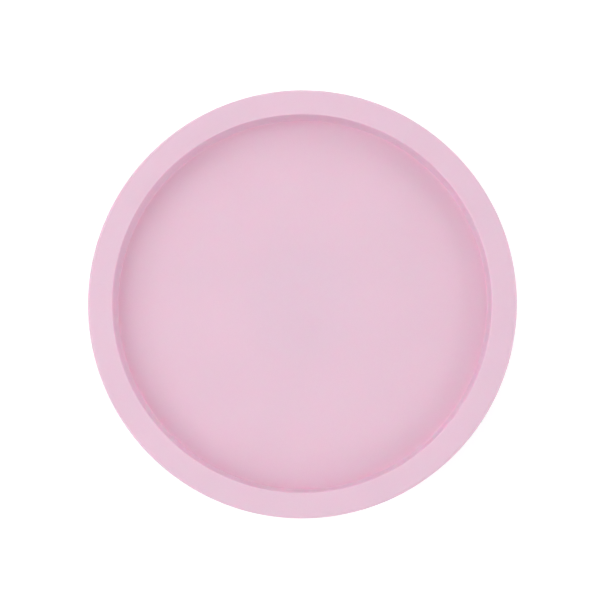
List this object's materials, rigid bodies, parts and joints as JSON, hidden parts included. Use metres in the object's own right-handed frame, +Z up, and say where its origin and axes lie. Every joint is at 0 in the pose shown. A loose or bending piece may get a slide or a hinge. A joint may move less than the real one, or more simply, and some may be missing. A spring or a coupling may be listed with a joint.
{
  "type": "cake turntable",
  "caption": "Round cake turntable: a dished plate with a wide flat rim spins on ball bearings in a flared pedestal with rubber feet.",
  "frame": {"origin": "centre of the turntable on the surface that its feet stand on", "axes": "+Z up along the spin axis, +X through the centre of rubber_foot_1"},
  "size_m": [0.3, 0.3, 0.084],
  "materials": {
    "plate_plastic": "matte pink moulded plastic, finely textured",
    "pedestal_plastic": "the plate's matte pink moulded plastic",
    "cover_plastic": "matte pink moulded plastic with a coarser grain",
    "turned_aluminium": "lathe-turned, with fine concentric tool marks",
    "ground_steel": "ground smooth",
    "bearing_steel": "polished bearing steel",
    "ball_steel": "mirror polished",
    "shield_steel": "pressed sheet steel",
    "spring_steel": "phosphated, dark",
    "screw_steel": "zinc plated",
    "cage_nylon": "natural nylon",
    "foot_rubber": "soft light grey rubber"
  },
  "bodies": {
    "pedestal": {"pedestal_shell": "pedestal_plastic", "bearing_housing": "turned_aluminium", "housing_screws": "screw_steel", "upper_bearing_outer_ring": "bearing_steel", "upper_bearing_shields": "shield_steel", "lower_bearing_outer_ring": "bearing_steel", "lower_bearing_shields": "shield_steel", "bottom_cover": "cover_plastic", "cover_screws": "screw_steel", "rubber_foot_1": "foot_rubber", "rubber_foot_2": "foot_rubber", "rubber_foot_3": "foot_rubber", "rubber_foot_4": "foot_rubber", "rubber_foot_5": "foot_rubber", "rubber_foot_6": "foot_rubber"},
    "plate": {"top_plate": "plate_plastic", "plate_hub": "turned_aluminium", "hub_screws": "screw_steel", "spindle": "ground_steel", "circlip": "spring_steel", "shim_washer": "ground_steel", "bearing_spacer": "ground_steel", "upper_bearing_inner_ring": "bearing_steel", "lower_bearing_inner_ring": "bearing_steel"},
    "upper_rolling_set": {"upper_bearing_cage": "cage_nylon", "upper_bearing_balls": "ball_steel"},
    "lower_rolling_set": {"lower_bearing_cage": "cage_nylon", "lower_bearing_balls": "ball_steel"}
  },
  "joints": [
    {"name": "plate_spin", "type": "hinge", "parent": "pedestal", "child": "plate", "pos_m": [0, 0, 0.05], "axis": [0, 0, 1], "continuous": true},
    {"name": "upper_rolling_set_spin", "type": "hinge", "parent": "pedestal", "child": "upper_rolling_set", "pos_m": [0, 0, 0.05], "axis": [0, 0, 1], "continuous": true},
    {"name": "lower_rolling_set_spin", "type": "hinge", "parent": "pedestal", "child": "lower_rolling_set", "pos_m": [0, 0, 0.0163], "axis": [0, 0, 1], "continuous": true}
  ],
  "couplings": [
    {"joint": "upper_rolling_set_spin", "follows": "plate_spin", "ratio": 0.38095},
    {"joint": "lower_rolling_set_spin", "follows": "plate_spin", "ratio": 0.38095}
  ]
}
